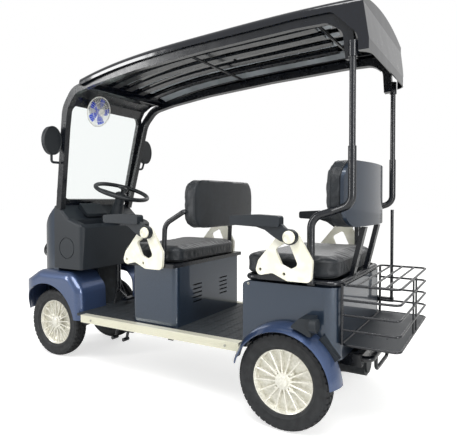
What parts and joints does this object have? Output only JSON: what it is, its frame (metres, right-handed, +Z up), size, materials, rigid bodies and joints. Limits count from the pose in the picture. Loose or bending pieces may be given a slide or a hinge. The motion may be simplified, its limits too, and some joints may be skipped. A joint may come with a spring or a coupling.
{
  "type": "electric four-wheel vehicle",
  "caption": "Small electric four-wheel vehicle with a front driver seat, a rear bench, a curved roof on posts, a wire basket behind, steered front wheels and rear drive.",
  "frame": {"origin": "middle of the footprint, on the ground", "axes": "+X points forward, +Y to the left side, +Z up"},
  "size_m": [2.3, 0.917, 1.7649],
  "materials": {
    "body_paint": "metallic slate blue",
    "roof_gloss": "glossy blue-black",
    "frame_black": "satin black",
    "plastic_black": "textured black",
    "leatherette": "soft black",
    "bracket_cream": "cream",
    "sill_aluminium": "brushed",
    "tyre": "black",
    "alloy": "polished spokes",
    "steel": "plain",
    "mat": "chequered black",
    "glass": "clear",
    "lamp": "clear lens",
    "battery": "black",
    "blades_blue": "blue",
    "fan_white": "white",
    "mirror_black": "black"
  },
  "bodies": {
    "chassis": {"arm_brackets": "bracket_cream", "basket_frame": "frame_black", "basket_tray": "plastic_black", "battery_pack": "battery", "canopy_frame": "frame_black", "chassis_frame": "frame_black", "dash_console": "plastic_black", "fan_housing": "fan_white", "floor_deck": "mat", "front_axle": "steel", "front_back_pad": "leatherette", "front_cowl": "body_paint", "front_fender_left": "body_paint", "front_fender_right": "body_paint", "front_seat_box": "body_paint", "front_seat_frame": "frame_black", "headlamps": "lamp", "instrument_display": "plastic_black", "mirrors": "mirror_black", "pedals": "frame_black", "rear_axle": "steel", "rear_back_pad": "leatherette", "rear_back_shell": "body_paint", "rear_body": "body_paint", "rear_bumper": "frame_black", "rear_cushion": "leatherette", "rear_fender_left": "body_paint", "rear_fender_right": "body_paint", "rear_posts": "frame_black", "rear_seat_frame": "frame_black", "roof_shell": "roof_gloss", "roof_slats": "frame_black", "side_sills": "sill_aluminium", "stay_rod": "steel", "steering_column": "plastic_black", "tail_lamps": "lamp", "windshield_glass": "glass"},
    "wheel_front_left": {"tyre_front_left": "tyre", "rim_front_left": "alloy"},
    "wheel_front_right": {"tyre_front_right": "tyre", "rim_front_right": "alloy"},
    "wheel_rear_left": {"tyre_rear_left": "tyre", "rim_rear_left": "alloy"},
    "wheel_rear_right": {"tyre_rear_right": "tyre", "rim_rear_right": "alloy"},
    "knuckle_left": {"knuckle_left": "steel"},
    "knuckle_right": {"knuckle_right": "steel"},
    "tie_rod": {"tie_rod": "steel"},
    "steering": {"steering_wheel": "plastic_black"},
    "fan_rotor": {"fan_blades": "blades_blue"},
    "seat_lid": {"front_cushion": "leatherette"},
    "armrest_front_left": {"armrest_front_left": "plastic_black"},
    "armrest_front_right": {"armrest_front_right": "plastic_black"},
    "armrest_rear_left": {"armrest_rear_left": "plastic_black"},
    "armrest_rear_right": {"armrest_rear_right": "plastic_black"}
  },
  "joints": [
    {"name": "steer_left", "type": "hinge", "parent": "chassis", "child": "knuckle_left", "pos_m": [0.88, 0.175, 0.205], "axis": [0, 0, 1], "range_deg": [-28, 28]},
    {"name": "steer_right", "type": "hinge", "parent": "chassis", "child": "knuckle_right", "pos_m": [0.88, -0.175, 0.205], "axis": [0, 0, 1], "range_deg": [-28, 28]},
    {"name": "spin_front_left", "type": "hinge", "parent": "knuckle_left", "child": "wheel_front_left", "pos_m": [0.88, 0.225, 0.205], "axis": [0, 1, 0], "continuous": true},
    {"name": "spin_front_right", "type": "hinge", "parent": "knuckle_right", "child": "wheel_front_right", "pos_m": [0.88, -0.225, 0.205], "axis": [0, 1, 0], "continuous": true},
    {"name": "spin_rear_left", "type": "hinge", "parent": "chassis", "child": "wheel_rear_left", "pos_m": [-0.7, 0.385, 0.205], "axis": [0, 1, 0], "continuous": true},
    {"name": "spin_rear_right", "type": "hinge", "parent": "chassis", "child": "wheel_rear_right", "pos_m": [-0.7, -0.385, 0.205], "axis": [0, 1, 0], "continuous": true},
    {"name": "tie_rod_turn", "type": "hinge", "parent": "knuckle_left", "child": "tie_rod", "pos_m": [0.79, 0.175, 0.165], "axis": [0, 0, 1], "range_deg": [-28, 28]},
    {"name": "steering_wheel_turn", "type": "hinge", "parent": "chassis", "child": "steering", "pos_m": [0.57, 0, 1], "axis": [-0.3256, 0, 0.9455], "range_deg": [-84, 84]},
    {"name": "fan_spin", "type": "hinge", "parent": "chassis", "child": "fan_rotor", "pos_m": [0.59, 0.166, 1.47], "axis": [-0.9659, 0, -0.2588], "continuous": true},
    {"name": "seat_lid_hinge", "type": "hinge", "parent": "chassis", "child": "seat_lid", "pos_m": [0.2213, 0, 0.6273], "axis": [0, 1, 0], "range_deg": [0, 70]},
    {"name": "armrest_front_left_hinge", "type": "hinge", "parent": "chassis", "child": "armrest_front_left", "pos_m": [0.057, 0.369, 0.789], "axis": [0, -1, 0], "range_deg": [0, 85]},
    {"name": "armrest_front_right_hinge", "type": "hinge", "parent": "chassis", "child": "armrest_front_right", "pos_m": [0.057, -0.369, 0.789], "axis": [0, -1, 0], "range_deg": [0, 85]},
    {"name": "armrest_rear_left_hinge", "type": "hinge", "parent": "chassis", "child": "armrest_rear_left", "pos_m": [-0.726, 0.3955, 0.8], "axis": [0, -1, 0], "range_deg": [0, 85]},
    {"name": "armrest_rear_right_hinge", "type": "hinge", "parent": "chassis", "child": "armrest_rear_right", "pos_m": [-0.726, -0.3955, 0.8], "axis": [0, -1, 0], "range_deg": [0, 85]}
  ],
  "couplings": [
    {"joint": "steer_right", "follows": "steer_left", "ratio": 1},
    {"joint": "tie_rod_turn", "follows": "steer_left", "ratio": -1},
    {"joint": "steering_wheel_turn", "follows": "steer_left", "ratio": 3}
  ]
}
